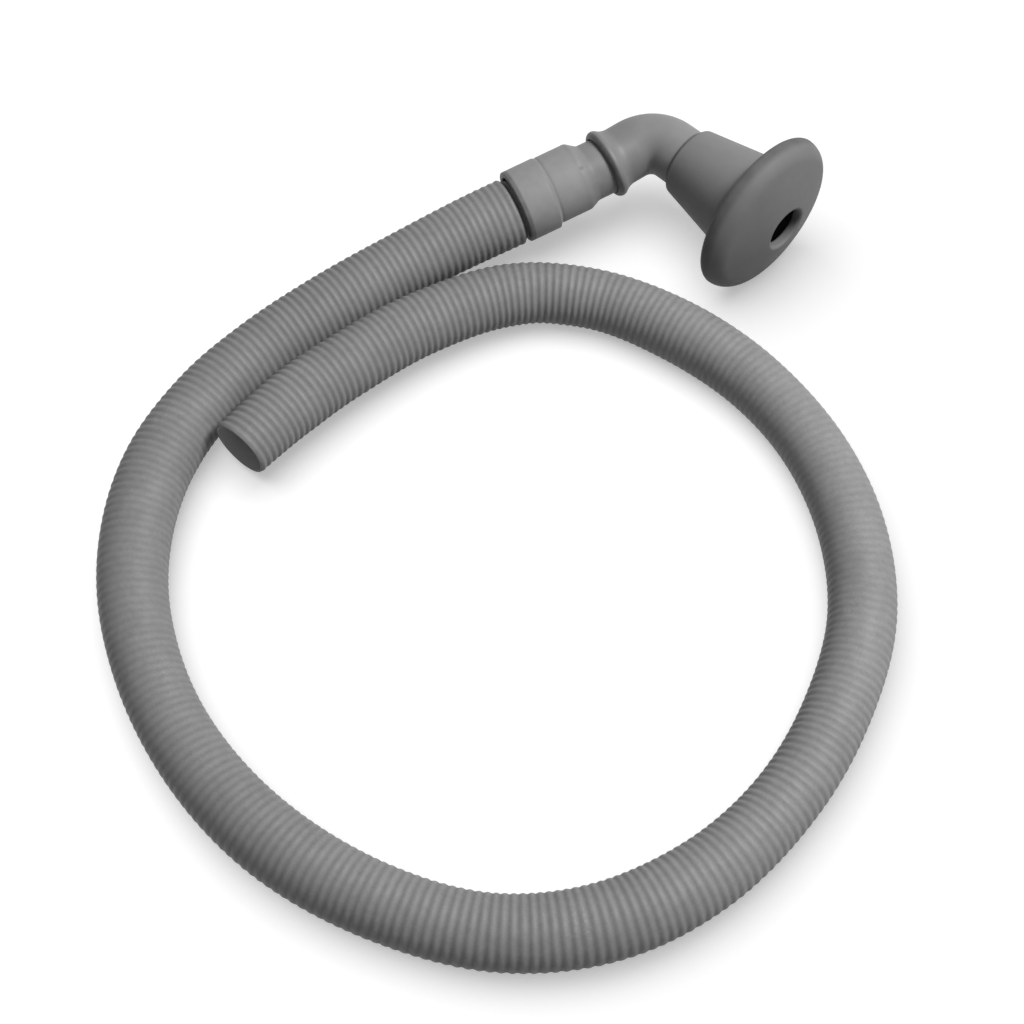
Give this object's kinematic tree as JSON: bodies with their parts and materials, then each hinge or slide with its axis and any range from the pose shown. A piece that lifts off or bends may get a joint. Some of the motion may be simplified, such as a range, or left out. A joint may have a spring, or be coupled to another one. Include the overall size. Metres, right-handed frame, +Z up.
{
  "type": "drain hose",
  "caption": "Ribbed drain hose for a small washing machine, lying in a loop, with a stepped cuff, a bent elbow and a flanged rubber port seal.",
  "frame": {"origin": "on the floor, under the middle of the box round the cuff, elbow and port seal", "axes": "+X along the port seal's bore, out of its hole; +Z up; the hose leaves towards -Y and lies in one loop on the floor"},
  "size_m": [0.316, 0.3823, 0.0736],
  "materials": {
    "hose_plastic": "satin grey ribbed polypropylene",
    "cuff_plastic": "matte grey moulded vinyl",
    "elbow_plastic": "satin grey moulded plastic",
    "seal_rubber": "dull dark grey rubber"
  },
  "bodies": {
    "root": {"hose": "hose_plastic", "hose_cuff": "cuff_plastic", "elbow": "elbow_plastic", "port_seal": "seal_rubber"}
  },
  "joints": []
}
